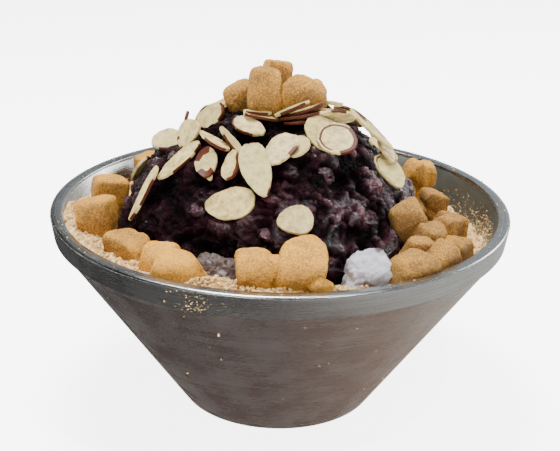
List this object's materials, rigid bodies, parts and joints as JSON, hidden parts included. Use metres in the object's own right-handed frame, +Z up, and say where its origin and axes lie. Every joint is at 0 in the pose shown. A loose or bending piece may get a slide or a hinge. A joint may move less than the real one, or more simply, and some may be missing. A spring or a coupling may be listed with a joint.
{
  "type": "bingsu in a steel bowl",
  "caption": "Patbingsu: shaved ice under a heap of sweet red beans with sliced almonds, small rice cakes and soybean powder, in a double-walled stainless steel bowl.",
  "frame": {"origin": "centre of the bowl's foot, on the surface it stands on", "axes": "+Z up along the bowl's axis; -Y is the front, where the ice shows; +X is the front's right"},
  "size_m": [0.19, 0.19, 0.1442],
  "materials": {
    "stainless_steel": "brushed round the rim, satin on the cone",
    "shaved_ice": "wet packed snow of milk ice, slightly translucent",
    "red_bean_paste": "wet glossy paste with whole beans",
    "soybean_powder": "dry crumbly powder",
    "rice_cake": "soft, coated with fine powder",
    "almond": "satin, with brown skin on the edge"
  },
  "bodies": {
    "root": {"bowl": "stainless_steel", "shaved_ice": "shaved_ice", "red_bean_heap": "red_bean_paste", "soybean_powder": "soybean_powder", "rice_cake_crown_left": "rice_cake", "rice_cake_crown_right": "rice_cake", "rice_cake_crown_back": "rice_cake", "rice_cake_crown_far": "rice_cake", "rice_cake_crown_side": "rice_cake", "rice_cake_left_upper": "rice_cake", "rice_cake_left_big": "rice_cake", "rice_cake_left_low": "rice_cake", "rice_cake_front_big": "rice_cake", "rice_cake_front_round": "rice_cake", "rice_cake_centre_left": "rice_cake", "rice_cake_centre_low": "rice_cake", "rice_cake_centre_tall": "rice_cake", "rice_cake_centre_flat": "rice_cake", "rice_cake_right_front": "rice_cake", "rice_cake_right_facet": "rice_cake", "rice_cake_right_wedge": "rice_cake", "rice_cake_right_leaning": "rice_cake", "rice_cake_right_middle": "rice_cake", "rice_cake_right_upper": "rice_cake", "rice_cake_right_dusty": "rice_cake", "rice_cake_right_outer": "rice_cake", "rice_cake_right_double": "rice_cake", "rice_cake_far_right": "rice_cake", "rice_cake_far_right_low": "rice_cake", "rice_cake_back_right": "rice_cake", "rice_cake_back_left": "rice_cake", "rice_cake_back_left_upper": "rice_cake", "rice_cake_back_left_outer": "rice_cake", "rice_cake_back_left_flat": "rice_cake", "almond_left_round": "almond", "almond_left_far": "almond", "almond_left_spotted": "almond", "almond_left_skinned": "almond", "almond_left_long": "almond", "almond_left_cupped": "almond", "almond_left_pointed": "almond", "almond_left_sliver": "almond", "almond_left_steep": "almond", "almond_left_edge": "almond", "almond_front_half": "almond", "almond_front_upper": "almond", "almond_front_square": "almond", "almond_front_skinned": "almond", "almond_front_upright": "almond", "almond_front_oval": "almond", "almond_front_drop": "almond", "almond_right_pale": "almond", "almond_right_capped": "almond", "almond_right_far": "almond", "almond_right_finger": "almond", "almond_right_ridged": "almond", "almond_right_behind": "almond", "almond_right_oval": "almond", "almond_right_steep": "almond", "almond_back_flat": "almond"}
  },
  "joints": []
}
